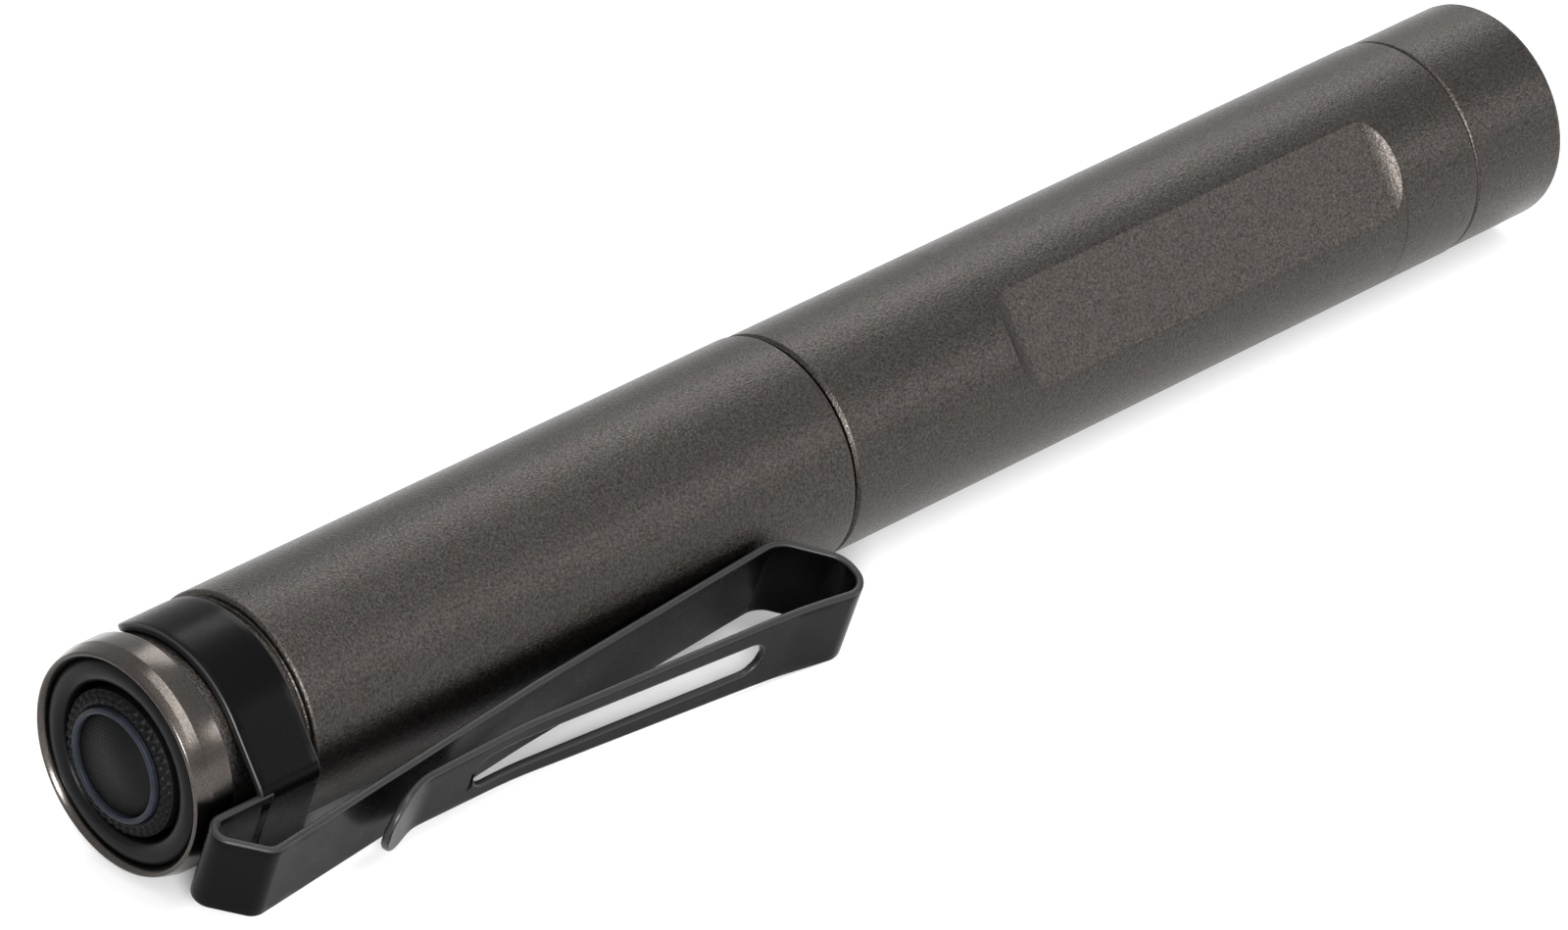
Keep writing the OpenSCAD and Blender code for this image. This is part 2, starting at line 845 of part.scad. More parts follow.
front_barrel();
rear_barrel();
mid_oring();
bezel();
bezel_oring();
lens();
lens_gasket();
reflector();
led_gasket();
led_emitter();
led_board();
led_wires();
led_pill();
driver_board();
driver_parts();
driver_contact();
cell(cells_front);  // battery_front
cell_terminal(cells_front);  // battery_front_terminal
cell(cells_front - cell_length);  // battery_rear
cell_terminal(cells_front - cell_length);  // battery_rear_terminal
tail_cap();
tail_oring();
rubber_ring();
button();
switch_plunger();
button_spring();
switch_housing();
switch_board();
switch_ring();
tail_spring();
clip_collar();
clip_inner_arm();
clip_outer_arm();
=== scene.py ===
import math
from collections import namedtuple

import bmesh
import bpy
from mathutils import Matrix, Vector


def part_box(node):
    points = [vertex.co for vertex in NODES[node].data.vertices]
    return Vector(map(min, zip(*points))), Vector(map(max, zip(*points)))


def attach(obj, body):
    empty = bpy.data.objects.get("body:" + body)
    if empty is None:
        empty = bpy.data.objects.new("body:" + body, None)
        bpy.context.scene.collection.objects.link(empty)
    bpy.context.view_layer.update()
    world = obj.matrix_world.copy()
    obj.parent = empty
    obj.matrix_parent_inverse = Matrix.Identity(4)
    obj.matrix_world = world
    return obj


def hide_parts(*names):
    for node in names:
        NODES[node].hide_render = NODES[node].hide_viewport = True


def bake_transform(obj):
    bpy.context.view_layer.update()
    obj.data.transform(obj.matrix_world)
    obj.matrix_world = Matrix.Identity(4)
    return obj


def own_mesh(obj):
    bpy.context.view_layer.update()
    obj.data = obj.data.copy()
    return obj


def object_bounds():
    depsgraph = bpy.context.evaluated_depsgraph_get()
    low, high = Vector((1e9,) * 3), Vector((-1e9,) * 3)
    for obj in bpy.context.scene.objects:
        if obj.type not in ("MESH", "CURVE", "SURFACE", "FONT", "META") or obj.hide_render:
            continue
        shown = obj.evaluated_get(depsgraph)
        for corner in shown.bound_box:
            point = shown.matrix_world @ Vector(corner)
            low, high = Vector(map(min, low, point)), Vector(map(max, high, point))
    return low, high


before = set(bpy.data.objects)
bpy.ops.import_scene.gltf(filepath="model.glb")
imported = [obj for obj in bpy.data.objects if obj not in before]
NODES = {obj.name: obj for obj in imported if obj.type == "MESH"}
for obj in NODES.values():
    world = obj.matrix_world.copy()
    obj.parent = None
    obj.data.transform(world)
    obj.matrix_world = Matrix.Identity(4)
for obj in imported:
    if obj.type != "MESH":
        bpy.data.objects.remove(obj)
cad_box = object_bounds()
MM = 0.001

Solid = namedtuple("Solid", "rear front radius")


def measured(name):
    """A round solid's rear end, front end and radius, in millimetres."""
    low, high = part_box(name)
    return Solid(*(round(size / MM, 3) for size in (low[0], high[0], -low[2])))


# Sizes of the solids, in millimetres. X runs along the barrel to the head, from the middle joint
TUBE_FRONT, HEAD_SPIGOT_FRONT, BARREL = measured("front_barrel")
TAIL_JOINT, MID_SPIGOT_FRONT, TUBE = measured("rear_barrel")
HEAD_JOINT, FRONT_FACE, BEZEL = measured("bezel")
TAIL_END, TAIL_SPIGOT_FRONT, CAP = measured("tail_cap")
BUTTON_RIDGE, BUTTON_REAR, BUTTON = measured("button")
RING_TOP, RECESS_FLOOR, RECESS = measured("rubber_ring")
LENS_REAR, LENS_FRONT, LENS = measured("lens")
LENS_LIP, THROAT_PLACE = measured("lens_gasket").front, measured("reflector").rear
PILL_REAR, PILL = measured("led_pill").rear, measured("led_pill").radius
CELL_REAR, CELL_TOP, CELL = measured("battery_front")
CELLS_FRONT, NUB = measured("battery_front_terminal").front, measured("battery_front_terminal").radius
SWITCH_REAR, BOARD_REAR, BOARD_FRONT = measured("switch_housing").rear, *measured("switch_board")[:2]
SEALS = [measured(name) for name in ("mid_oring", "bezel_oring", "tail_oring")]
MID_RING, HEAD_RING, TAIL_RING = (round((seal.rear + seal.front) / 2, 3) for seal in SEALS)
CELL_LENGTH, TERMINAL = CELLS_FRONT - CELL_REAR, CELLS_FRONT - CELL_TOP
CELLS_REAR = CELLS_FRONT - 2 * CELL_LENGTH

# Sizes of the milled flat, the threads and the seals
FLAT_DEPTH, FLAT_REAR, FLAT_FRONT, CUTTER = 0.82, 14.2, 49.9, 2.3
FLAT_ANGLE = math.radians(31)
MID_PITCH, END_PITCH, RIDGE, CLEARANCE, OVERLAP = 1.0, 0.75, 0.22, 0.05, 0.05
MID_SPIGOT, HEAD_SPIGOT, TAIL_SPIGOT = 6.35, 6.5, 5.9
MID_BORE, HEAD_BORE, TAIL_BORE = (r + RIDGE + CLEARANCE for r in (MID_SPIGOT, HEAD_SPIGOT, TAIL_SPIGOT))
SHOULDER, CHAMFER_END, GROOVE, RING_HALF = -0.63, -0.41, 6.9, 0.35

# Sizes of the neck, the bores, the head, the tail and the springs
NECK, NECK_START, CELL_BORE, CELL_GAP = 6.95, -46.1, 5.6, 0.3
OPENING, FLANGE = 5.5, 61.6
CAP_BORE, BOARD_BORE, TAIL_POCKET = 4.95, 5.15, -42.8
LIP_ROUND, LIP_SLOPE, LIP_SHARE = 1.15, 0.55, 0.54
LIP_CREST = RECESS + LIP_SHARE * (CAP - RECESS)
BUTTON_FACE, BUTTON_CENTRE = -55.25, -55.3
RING_INNER, RING_CROWN = 5.1, 0.5
WIRE = 0.3

# Each thread's place and its number of turns
BEZEL_THREAD, MIDDLE_THREAD, TAIL_THREAD = (58.4, 3.2), (2.4, 4), (-50.3, 4.5)

# Nearness at which points count as one: on a turned piece and a sheet, in metres, and on the axis
CLOSE, SHEET_CLOSE = 1e-7, 2e-6
TINY = 1e-6


# Meshes
def make_mesh(name, points, faces, smooth=True):
    mesh = bpy.data.meshes.new(name)
    mesh.from_pydata([tuple(c * MM for c in p) for p in points], [], faces)
    mesh.update()
    if smooth:
        mesh.shade_smooth()
    obj = bpy.data.objects.new(name, mesh)
    bpy.context.scene.collection.objects.link(obj)
    return obj


def rounded(outline, steps=5):
    """Turns [place, radius, rounding] corners of a closed outline into points."""
    points = []
    count = len(outline)
    for i, (x, r, *rounding) in enumerate(outline):
        corner = Vector((x, r))
        size = rounding[0] if rounding else 0
        if not size:
            points.append(corner)
            continue
        before = Vector(outline[i - 1][:2]) - corner
        after = Vector(outline[(i + 1) % count][:2]) - corner
        half = before.angle(after) / 2
        reach = min(size / math.tan(half), before.length * 0.49, after.length * 0.49)
        radius = reach * math.tan(half)
        a, b = before.normalized(), after.normalized()
        middle = corner + (a + b).normalized() * radius / math.sin(half)
        first, last = corner + a * reach - middle, corner + b * reach - middle
        sweep = first.angle_signed(last)
        for k in range(steps + 1):
            t = sweep * k / steps
            c, s = math.cos(-t), math.sin(-t)
            points.append(middle + Vector((first.x * c - first.y * s, first.x * s + first.y * c)))
    return [(p.x, p.y) for p in points]


def turned(name, outline, columns=160, shape=None, angles=None):
    """Turns a closed outline of [place, radius, rounding] corners round the barrel's axis."""
    rows = rounded(outline)
    points = []
    faces = []
    for x, r in rows:
        turns = angles(x) if angles else [2 * math.pi * k / columns for k in range(columns)]
        for t in turns:
            p = shape(x, r, t) if shape else (x, r)
            points.append((p[0], -p[1] * math.cos(t), p[1] * math.sin(t)) if len(p) == 2 else p)
    columns = len(turns)
    for i in range(len(rows)):
        j = (i + 1) % len(rows)
        if max(rows[i][1], rows[j][1]) < TINY:
            continue
        for k in range(columns):
            n = (k + 1) % columns
            faces.append((i * columns + k, j * columns + k, j * columns + n, i * columns + n))
    obj = make_mesh(name, points, faces)
    merge(obj)
    weigh(obj)
    return obj


def merge(obj, distance=CLOSE):
    """Joins points that lie together and turns all faces outwards."""
    work = bmesh.new()
    work.from_mesh(obj.data)
    bmesh.ops.remove_doubles(work, verts=work.verts, dist=distance)
    bmesh.ops.recalc_face_normals(work, faces=work.faces)
    work.to_mesh(obj.data)
    work.free()


def weigh(obj):
    """Shades large faces evenly beside small ones."""
    weighted = obj.modifiers.new("even shading", "WEIGHTED_NORMAL")
    weighted.keep_sharp = True
    weighted.weight = 80


def settle(obj):
    """Applies an object's modifiers to its mesh."""
    bpy.context.view_layer.update()
    shown = obj.evaluated_get(bpy.context.evaluated_depsgraph_get())
    mesh = bpy.data.meshes.new_from_object(shown)
    obj.modifiers.clear()
    obj.data = mesh


def thread(name, span, radius, pitch, steps=48):
    """One helical ridge that fades in and out, on a spigot. span is its place and its turns."""
    start, turns = span
    points = []
    faces = []
    count = int(turns * steps)
    for i in range(count + 1):
        turn = i / steps
        fade = max(0.05, min(1, turn / 0.25, (turns - turn) / 0.25))
        section = [(-0.36, -0.05), (-0.12, RIDGE * fade), (0.12, RIDGE * fade), (0.36, -0.05)]
        for along, rise in section:
            t = 2 * math.pi * turn
            reach = radius + rise
            points.append((start + pitch * (turn + along), reach * math.cos(t), reach * math.sin(t)))
    for i in range(count):
        for k in range(3):
            a = i * 4 + k
            faces.append((a, a + 1, a + 5, a + 4))
    return make_mesh(name, points, faces, smooth=False)


def coil(name, rear, front, radius, turns, sides=10, steps=32):
    """A helical spring along X, with the wire's two ends capped."""
    points = []
    faces = []
    count = turns * steps
    pitch = (front - rear - 2 * WIRE) / turns
    for i in range(count + 1):
        t = 2 * math.pi * i / steps
        for k in range(sides):
            u = 2 * math.pi * k / sides
            place = rear + WIRE + pitch * i / steps + WIRE * math.sin(u)
            reach = radius + WIRE * math.cos(u)
            points.append((place, reach * math.cos(t), reach * math.sin(t)))
    for i in range(count):
        for k in range(sides):
            n = (k + 1) % sides
            faces.append((i * sides + k, i * sides + n, (i + 1) * sides + n, (i + 1) * sides + k))
    faces.append(tuple(range(sides)))
    faces.append(tuple(count * sides + k for k in reversed(range(sides))))
    return make_mesh(name, points, faces)


def ring(name, place, middle, half):
    """A seal with a round section."""
    points = []
    faces = []
    columns, sides = 128, 20
    for i in range(columns):
        t = 2 * math.pi * i / columns
        for k in range(sides):
            u = 2 * math.pi * k / sides
            reach = middle + half * math.cos(u)
            points.append((place + half * math.sin(u), reach * math.cos(t), reach * math.sin(t)))
    for i in range(columns):
        for k in range(sides):
            n, m = (k + 1) % sides, (i + 1) % columns
            faces.append((i * sides + k, i * sides + n, m * sides + n, m * sides + k))
    return make_mesh(name, points, faces)


# Materials
def surface(name, color, roughness, metallic=0.0, specular=0.5):
    material = bpy.data.materials.new(name)
    material.use_nodes = True
    shader = material.node_tree.nodes["Principled BSDF"]
    shader.inputs["Base Color"].default_value = (*color, 1)
    shader.inputs["Roughness"].default_value = roughness
    shader.inputs["Metallic"].default_value = metallic
    shader.inputs["Specular IOR Level"].default_value = specular
    return material


def node(material, kind, **values):
    made = material.node_tree.nodes.new(kind)
    for key, value in values.items():
        if key in made.inputs:
            made.inputs[key].default_value = value
        else:
            setattr(made, key, value)
    return made


def link(material, source, target):
    material.node_tree.links.new(source, target)


def shader_of(material):
    return material.node_tree.nodes["Principled BSDF"]


def place_of(material, stretch=(1, 1, 1)):
    """Object coordinates in millimetres."""
    where = node(material, "ShaderNodeTexCoord")
    scaled = node(material, "ShaderNodeMapping")
    scaled.inputs["Scale"].default_value = tuple(s / MM for s in stretch)
    link(material, where.outputs["Object"], scaled.inputs["Vector"])
    return scaled.outputs["Vector"]


def noise(material, place, scale, detail=2.0, roughness=0.5):
    made = node(material, "ShaderNodeTexNoise", Scale=scale, Detail=detail, Roughness=roughness)
    link(material, place, made.inputs["Vector"])
    return made.outputs["Fac"]


def spread(material, value, low, high, to_low=0.0, to_high=1.0):
    made = node(material, "ShaderNodeMapRange")
    for key, number in zip(("From Min", "From Max", "To Min", "To Max"), (low, high, to_low, to_high)):
        made.inputs[key].default_value = number
    link(material, value, made.inputs["Value"])
    return made.outputs["Result"]


def vary_roughness(material, value, *limits):
    """Lets a texture's value set the roughness, between limits as in spread."""
    link(material, spread(material, value, *limits), shader_of(material).inputs["Roughness"])


def tint(material, share, first, second):
    made = node(material, "ShaderNodeMix", data_type="RGBA")
    made.inputs["A"].default_value = (*first, 1)
    made.inputs["B"].default_value = (*second, 1)
    link(material, share, made.inputs["Factor"])
    link(material, made.outputs["Result"], shader_of(material).inputs["Base Color"])


def bumps(material, height, distance, strength=1.0, under=None):
    made = node(material, "ShaderNodeBump", Strength=strength, Distance=distance * MM)
    link(material, height, made.inputs["Height"])
    if under is not None:
        link(material, under, made.inputs["Normal"])
    link(material, made.outputs["Normal"], shader_of(material).inputs["Normal"])
    return made.outputs["Normal"]


def blasted_metal(name, dark, light, roughness):
    """Bead-blasted and anodised aluminium: a fine even grain with small bright facets."""
    material = surface(name, light, roughness, metallic=1.0)
    place = place_of(material)
    grain = noise(material, place, 5.5, 3.0, 0.65)
    tint(material, spread(material, grain, 0.35, 0.7), dark, light)
    facets = node(material, "ShaderNodeTexVoronoi", Scale=6.0)
    link(material, place, facets.inputs["Vector"])
    polish = noise(material, place, 9.0, 1.0)
    vary_roughness(material, polish, 0.3, 0.72, roughness + 0.08, roughness - 0.1)
    first = bumps(material, grain, 0.05, 0.55)
    bumps(material, facets.outputs["Distance"], 0.03, 0.5, first)
    return material


def fine_metal(name, dark, light, roughness):
    """Anodised metal with a finer and smoother grain than the blasted barrel's."""
    material = surface(name, light, roughness, metallic=1.0)
    place = place_of(material)
    grain = noise(material, place, 8.0, 2.0, 0.6)
    tint(material, spread(material, grain, 0.35, 0.68), dark, light)
    smears = noise(material, place, 0.8, 3.0)
    vary_roughness(material, smears, 0.3, 0.75, roughness - 0.02, roughness + 0.03)
    bumps(material, grain, 0.015, 0.3)
    return material


def polished_metal(name, color, roughness):
    """Turned metal: faint rings along the axis and slight smears."""
    material = surface(name, color, roughness, metallic=1.0)
    place = place_of(material, (1.0, 0.08, 0.08))
    lines = noise(material, place, 14.0, 2.0)
    smears = noise(material, place_of(material), 0.7, 3.0)
    vary_roughness(material, smears, 0.3, 0.75, roughness - 0.05, roughness + 0.09)
    tint(material, spread(material, smears, 0.3, 0.75), color, tuple(c * 0.82 for c in color))
    bumps(material, lines, 0.006, 0.5)
    return material


def painted(name, color, roughness, specular):
    """Satin paint with a very fine orange-peel."""
    material = surface(name, color, roughness, specular=specular)
    place = place_of(material)
    peel = noise(material, place, 2.2, 2.0)
    patches = noise(material, place, 0.35, 3.0)
    vary_roughness(material, patches, 0.3, 0.7, roughness - 0.04, roughness + 0.06)
    tint(material, spread(material, patches, 0.3, 0.7), color, tuple(c * 0.8 for c in color))
    bumps(material, peel, 0.02, 0.25)
    return material


def rubbery(name, color, roughness):
    """Dull rubber with a fine skin and lighter patches."""
    material = surface(name, color, roughness, specular=0.09)
    place = place_of(material)
    skin = noise(material, place, 7.0, 3.0)
    patches = noise(material, place, 1.2, 3.0)
    tint(material, spread(material, patches, 0.3, 0.7), color, tuple(c * 1.5 for c in color))
    bumps(material, skin, 0.02, 0.35)
    return material


def plastic(name, color, roughness):
    """Moulded plastic with a fine grain."""
    material = surface(name, color, roughness)
    place = place_of(material)
    patches = noise(material, place, 0.8, 3.0)
    tint(material, spread(material, patches, 0.3, 0.7), color, tuple(c * 0.88 for c in color))
    bumps(material, noise(material, place, 9.0, 2.0), 0.01, 0.3)
    return material


def circuit_board(name, mask, metal):
    """Solder mask with bare pads and faint tracks under it."""
    material = surface(name, mask, 0.35)
    place = place_of(material)
    tracks = node(material, "ShaderNodeTexBrick", Scale=0.9)
    tracks.inputs["Color1"].default_value = (*mask, 1)
    tracks.inputs["Color2"].default_value = (*(c * 1.35 for c in mask), 1)
    tracks.inputs["Mortar"].default_value = (*(c * 0.6 for c in mask), 1)
    turn = node(material, "ShaderNodeMapping")
    turn.inputs["Rotation"].default_value = (0, math.pi / 2, 0)
    link(material, place, turn.inputs["Vector"])
    link(material, turn.outputs["Vector"], tracks.inputs["Vector"])
    dots = node(material, "ShaderNodeTexVoronoi", Scale=0.9)
    link(material, place, dots.inputs["Vector"])
    pads = spread(material, dots.outputs["Distance"], 0.12, 0.16, 1.0, 0.0)
    mix = node(material, "ShaderNodeMix", data_type="RGBA")
    link(material, tracks.outputs["Color"], mix.inputs["A"])
    mix.inputs["B"].default_value = (*metal, 1)
    link(material, pads, mix.inputs["Factor"])
    link(material, mix.outputs["Result"], shader_of(material).inputs["Base Color"])
    link(material, pads, shader_of(material).inputs["Metallic"])
    return material


def clear_glass(name):
    material = surface(name, (0.96, 0.98, 0.98), 0.03)
    shader_of(material).inputs["Transmission Weight"].default_value = 1.0
    shader_of(material).inputs["IOR"].default_value = 1.47
    place = place_of(material)
    smudge = noise(material, place, 0.5, 3.0)
    vary_roughness(material, smudge, 0.4, 0.8, 0.02, 0.08)
    return material


def button_rubber(name, color):
    """The button's face: a fine square grid moulded into the rubber."""
    material = rubbery(name, color, 0.5)
    place = place_of(material)
    split = node(material, "ShaderNodeSeparateXYZ")
    link(material, place, split.inputs["Vector"])
    spacing = 0.28
    heights = []
    for axis in ("Y", "Z"):
        wave = node(material, "ShaderNodeMath", operation="SINE")
        count = node(material, "ShaderNodeMath", operation="MULTIPLY")
        count.inputs[1].default_value = 2 * math.pi / spacing
        link(material, split.outputs[axis], count.inputs[0])
        link(material, count.outputs[0], wave.inputs[0])
        heights.append(wave.outputs[0])
    both = node(material, "ShaderNodeMath", operation="ADD")
    link(material, heights[0], both.inputs[0])
    link(material, heights[1], both.inputs[1])
    bumps(material, both.outputs[0], 0.015, 0.3)
    return material


anodised = blasted_metal("anodised_barrel", (0.027, 0.0237, 0.0216), (0.068, 0.0607, 0.0556), 0.38)
bronze = fine_metal("tail_metal", (0.052, 0.046, 0.042), (0.076, 0.068, 0.062), 0.23)
rubber = rubbery("black_rubber", (0.0014, 0.0015, 0.0018), 0.34)
button_face = button_rubber("button_rubber", (0.0008, 0.0009, 0.001))
ring_rubber = rubbery("button_ring", (0.009, 0.0105, 0.0145), 0.42)
clip_paint = painted("clip_paint", (0.0012, 0.0012, 0.0013), 0.27, 0.055)
# The clip's cut edges get a glossier paint whose lighter colour is a painted highlight along the edges
clip_edge_highlight = painted("clip_edge_highlight", (0.008, 0.0077, 0.0077), 0.36, 0.3)
glass = clear_glass("lens_glass")
mirror = polished_metal("reflector_plating", (0.88, 0.88, 0.88), 0.06)
white_plastic = plastic("white_plastic", (0.8, 0.8, 0.77), 0.5)
black_plastic = plastic("black_plastic", (0.02, 0.02, 0.02), 0.45)
board_white = circuit_board("board_white", (0.75, 0.75, 0.72), (0.7, 0.68, 0.6))
board_green = circuit_board("board_green", (0.015, 0.11, 0.05), (0.75, 0.6, 0.3))
phosphor = plastic("led_phosphor", (0.85, 0.68, 0.12), 0.25)
wire_red = plastic("wire_sleeve", (0.45, 0.02, 0.02), 0.4)
brass = polished_metal("brass", (0.68, 0.5, 0.2), 0.28)
sleeve = plastic("cell_sleeve", (0.045, 0.085, 0.15), 0.28)
nickel = polished_metal("cell_steel", (0.72, 0.7, 0.67), 0.3)
spring_metal = polished_metal("spring_steel", (0.62, 0.55, 0.38), 0.25)


def dress(obj, material, body=None, nodes=()):
    """Gives a piece its material, its body and the solids that it stands for."""
    if not obj.data.materials:
        obj.data.materials.append(material)
    if body:
        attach(obj, body)
    if nodes:
        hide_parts(*nodes)


# The front barrel, with its milled flat
FLAT_REACH = BARREL - FLAT_DEPTH
HOLLOW = math.sqrt(CUTTER ** 2 - (CUTTER - FLAT_DEPTH) ** 2)
BOTTOM_REAR, BOTTOM_FRONT = FLAT_REAR + HOLLOW, FLAT_FRONT - HOLLOW
CREASE, SKIN = 0.04, 0.7
NEAR_EDGE = [m / BARREL for m in (0.03, 0.07, 0.13, 0.24, 0.42)]


def flat_height(x):
    """The height of the milled surface over the axis at a place, or a great height outside it."""
    past = max(BOTTOM_REAR - x, x - BOTTOM_FRONT, 0)
    if past >= CUTTER:
        return 2 * BARREL
    return FLAT_REACH + CUTTER - math.sqrt(CUTTER ** 2 - past ** 2)


def barrel_turns(x):
    """Angles round the barrel from the flat's middle, with more of them along the flat's edges."""
    edge = math.acos(min(1.0, flat_height(x) / BARREL)) if flat_height(x) < BARREL else 0.0
    edge = max(edge, math.radians(1.5))
    widest = NEAR_EDGE[-1] * 1.3
    reach = min(widest, edge / 2)
    half = [(edge - reach) * k / 12 for k in range(12)]
    half += [edge - n * reach / widest for n in reversed(NEAR_EDGE)]
    half += [edge, *(edge + n for n in NEAR_EDGE)]
    far = half[-1]
    half += [far + (math.pi - far) * k / 60 for k in range(1, 61)]
    return [FLAT_ANGLE + a for a in half] + [FLAT_ANGLE - a for a in reversed(half[1:-1])]


def barrel_shape(x, r, turn):
    """Cuts the flat into the barrel's outer skin, with a slightly rounded edge."""
    if r < BARREL - SKIN:
        return (x, r)
    a = turn - FLAT_ANGLE
    up, side = r * math.cos(a), r * math.sin(a)
    top = flat_height(x)
    near = max(CREASE - abs(up - top), 0) / CREASE
    up = min(up, top) - near ** 2 * CREASE / 4
    c, s = math.cos(FLAT_ANGLE), math.sin(FLAT_ANGLE)
    return (x, -(up * c - side * s), up * s + side * c)


def stations(start, stop, count):
    """Places from start to stop, closer together towards both."""
    return [start + (stop - start) * (1 - math.cos(math.pi * k / count)) / 2 for k in range(count + 1)]


def make_front_barrel():
    along = stations(FLAT_REAR - 0.2, BOTTOM_REAR + 0.2, 26)
    along += [BOTTOM_REAR + 1 + (BOTTOM_FRONT - BOTTOM_REAR - 2) * k / 16 for k in range(17)]
    along += stations(BOTTOM_FRONT - 0.2, FLAT_FRONT + 0.2, 26)
    groove_floor = HEAD_SPIGOT - 2 * RING_HALF + RIDGE
    groove_rear, groove_front = HEAD_RING - RING_HALF - OVERLAP, HEAD_RING + RING_HALF + OVERLAP
    outline = [
        (TUBE_FRONT, MID_BORE, 0.05), (TUBE_FRONT, GROOVE, 0.04), (SHOULDER, GROOVE, 0.04),
        (SHOULDER, BARREL + SHOULDER - CHAMFER_END, 0.05), (CHAMFER_END, BARREL, 0.08),
        *[(x, BARREL) for x in (2, 5, 8, 11, *along, 52, 54.5)],
        (HEAD_JOINT, BARREL, 0.3), (HEAD_JOINT, HEAD_SPIGOT),
        (groove_rear, HEAD_SPIGOT, 0.03), (groove_rear, groove_floor),
        (groove_front, groove_floor), (groove_front, HEAD_SPIGOT, 0.03),
        (HEAD_SPIGOT_FRONT, HEAD_SPIGOT, 0.15), (HEAD_SPIGOT_FRONT, PILL),
        (PILL_REAR, PILL), (PILL_REAR, CELL_BORE),
        (MID_SPIGOT_FRONT + CELL_GAP, CELL_BORE), (MID_SPIGOT_FRONT + CELL_GAP, MID_BORE)]
    barrel = turned("front_barrel_shell", outline, shape=barrel_shape, angles=barrel_turns)
    dress(barrel, anodised, "front_body", ["front_barrel"])
    ridge = thread("bezel_thread", BEZEL_THREAD, HEAD_SPIGOT, END_PITCH)
    dress(ridge, anodised, "front_body")


# The rear tube
def make_rear_tube():
    groove_floor = MID_BORE - 2 * RING_HALF - OVERLAP
    groove_rear, groove_front = MID_RING - RING_HALF - OVERLAP, MID_RING + RING_HALF + OVERLAP
    outline = [
        (TAIL_JOINT, TAIL_BORE, 0.05), (TAIL_JOINT, NECK, 0.3), (NECK_START, NECK), (NECK_START, TUBE, 0.3),
        *[(x, TUBE) for x in (-40, -30, -20, -10)],
        (TUBE_FRONT, TUBE, 0.3), (TUBE_FRONT, MID_SPIGOT),
        (groove_rear, MID_SPIGOT, 0.03), (groove_rear, groove_floor),
        (groove_front, groove_floor), (groove_front, MID_SPIGOT, 0.03),
        (MID_SPIGOT_FRONT, MID_SPIGOT, 0.15), (MID_SPIGOT_FRONT, CELL_BORE),
        (TAIL_POCKET, CELL_BORE), (TAIL_POCKET, TAIL_BORE)]
    dress(turned("rear_tube_shell", outline), anodised, "rear_tube", ["rear_barrel"])
    ridge = thread("middle_thread", MIDDLE_THREAD, MID_SPIGOT, MID_PITCH)
    dress(ridge, anodised, "rear_tube")
    seal = ring("middle_seal", MID_RING, MID_BORE - RING_HALF, RING_HALF - OVERLAP / 2)
    dress(seal, rubber, "mid_seal", ["mid_oring"])


# The head, with the radius of the reflector's throat and the bowl's wall
THROAT, BOWL_WALL = 1.9, 0.45


def make_head():
    outline = [
        (HEAD_JOINT, HEAD_BORE, 0.05), (HEAD_JOINT, BEZEL, 0.3), (61, BEZEL), (FRONT_FACE, BEZEL, 0.6),
        (FRONT_FACE, OPENING, 0.6), (LENS_LIP, OPENING), (LENS_LIP, LENS + CLEARANCE),
        (FLANGE - OVERLAP, LENS + CLEARANCE), (FLANGE - OVERLAP, HEAD_BORE)]
    dress(turned("bezel_shell", outline), anodised, "head_cap", ["bezel"])
    seal = ring("bezel_seal", HEAD_RING, HEAD_BORE - RING_HALF, RING_HALF - OVERLAP / 2)
    dress(seal, rubber, "front_body", ["bezel_oring"])
    pane = turned("lens_pane", [
        (LENS_REAR, 0), (LENS_REAR, LENS, 0.12), (LENS_FRONT, LENS, 0.12), (LENS_FRONT, 0)])
    dress(pane, glass, "head_optics", ["lens"])
    washer = turned("lens_washer", [
        (LENS_FRONT, OPENING, 0.1), (LENS_FRONT, LENS, 0.1), (LENS_LIP, LENS, 0.1), (LENS_LIP, OPENING, 0.1)])
    dress(washer, rubber, "head_optics", ["lens_gasket"])
    depth, flare = LENS_REAR - THROAT_PLACE, OPENING - BOWL_WALL - THROAT
    bowl = [(THROAT_PLACE + depth * k / 32, THROAT + flare * math.sqrt(k / 32)) for k in range(33)]
    back = [(x, r + BOWL_WALL) for x, r in reversed(bowl[1:26])]
    cup = turned("reflector_bowl", [
        *bowl, (LENS_REAR, LENS), (FLANGE, LENS), (FLANGE, OPENING), *back, (THROAT_PLACE, THROAT + BOWL_WALL)])
    dress(cup, mirror, "head_optics", ["reflector"])


